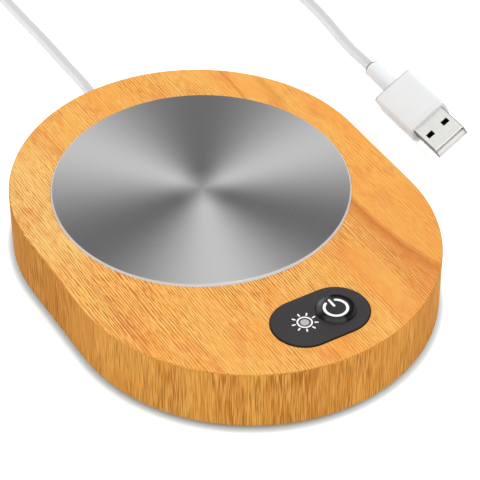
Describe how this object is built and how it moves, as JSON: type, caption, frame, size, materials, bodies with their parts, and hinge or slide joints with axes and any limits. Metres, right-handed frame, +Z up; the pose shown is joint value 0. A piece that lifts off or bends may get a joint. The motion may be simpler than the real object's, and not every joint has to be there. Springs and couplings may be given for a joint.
{
  "type": "electric mug warmer",
  "caption": "Rounded wooden base with a round spun-metal warming plate, a small dark control panel with a push button, and a white cord ending in a flat plug.",
  "frame": {"origin": "on the table, under the middle of the wooden body (the feet stand at z = 0)", "axes": "+Z up; +Y along the long axis of the body, towards the back edge where the cord leaves; the controls are at -Y; +X to the right of a user who faces the controls"},
  "size_m": [0.1523, 0.2711, 0.0227],
  "materials": {
    "honey_wood": "oiled wood, satin",
    "black_cover": "fine moulded grain",
    "zinc_screw": "zinc plated",
    "foot_rubber": "matt",
    "spun_plate": "spun, fine concentric lines",
    "gasket_silicone": "matt",
    "heater_film": "polyimide film",
    "felt_pad": "needled felt",
    "steel_disc": "pressed sheet",
    "thermistor_glass": "gloss",
    "fuse_ceramic": "glazed",
    "charcoal_panel": "satin",
    "frosted_lens": "frosted",
    "green_board": "solder mask",
    "white_nylon": "satin",
    "black_chip": "matt",
    "grey_plunger": "matt",
    "tinned_metal": "tinned",
    "led_body": "clear",
    "ivory_connector": "satin",
    "red_wire": "satin",
    "black_wire": "satin",
    "white_wire": "satin",
    "yellow_wire": "satin",
    "white_cord": "satin",
    "white_plug": "soft gloss",
    "plug_metal": "nickel plated",
    "plug_insulator": "satin",
    "gold_contact": "gold plated"
  },
  "bodies": {
    "root": {"wood_body": "honey_wood", "base_cover": "black_cover", "cover_screws": "zinc_screw", "foot_front_left": "foot_rubber", "foot_front_right": "foot_rubber", "foot_back_left": "foot_rubber", "foot_back_right": "foot_rubber", "heating_plate": "spun_plate", "plate_gasket": "gasket_silicone", "film_heater": "heater_film", "insulation_pad": "felt_pad", "clamp_disc": "steel_disc", "clamp_screws": "zinc_screw", "thermistor": "thermistor_glass", "thermal_fuse": "fuse_ceramic", "control_panel": "charcoal_panel", "indicator_lens": "frosted_lens", "control_board": "green_board", "board_spacers": "white_nylon", "board_screws": "zinc_screw", "switch_housing": "black_chip", "switch_legs": "tinned_metal", "indicator_led": "led_body", "controller_chip": "black_chip", "power_transistor": "black_chip", "capacitor": "tinned_metal", "supply_connector": "ivory_connector", "sensor_connector": "ivory_connector", "heater_connector": "ivory_connector", "supply_wire_red": "red_wire", "supply_wire_black": "black_wire", "heater_wire_left": "white_wire", "heater_wire_right": "white_wire", "sensor_wire_left": "yellow_wire", "sensor_wire_right": "yellow_wire", "cable_gland": "white_cord", "inner_cord": "white_cord", "cord_stop": "white_nylon", "cord_lead": "white_cord", "cord_coil": "white_cord", "cord_tail": "white_cord", "coil_tie": "white_nylon", "plug_neck": "white_plug", "plug_grip": "white_plug", "plug_shell": "plug_metal", "plug_tongue": "plug_insulator", "plug_contacts": "gold_contact"},
    "button": {"power_button": "charcoal_panel"},
    "plunger": {"switch_plunger": "grey_plunger"}
  },
  "joints": [
    {"name": "button_press", "type": "slide", "parent": "root", "child": "button", "axis": [0, 0, -1], "range_m": [0, 0.0005], "stiffness_N_per_m": 800},
    {"name": "plunger_press", "type": "slide", "parent": "root", "child": "plunger", "axis": [0, 0, -1], "range_m": [0, 0.0005]}
  ],
  "couplings": [
    {"joint": "plunger_press", "follows": "button_press", "ratio": 1}
  ]
}
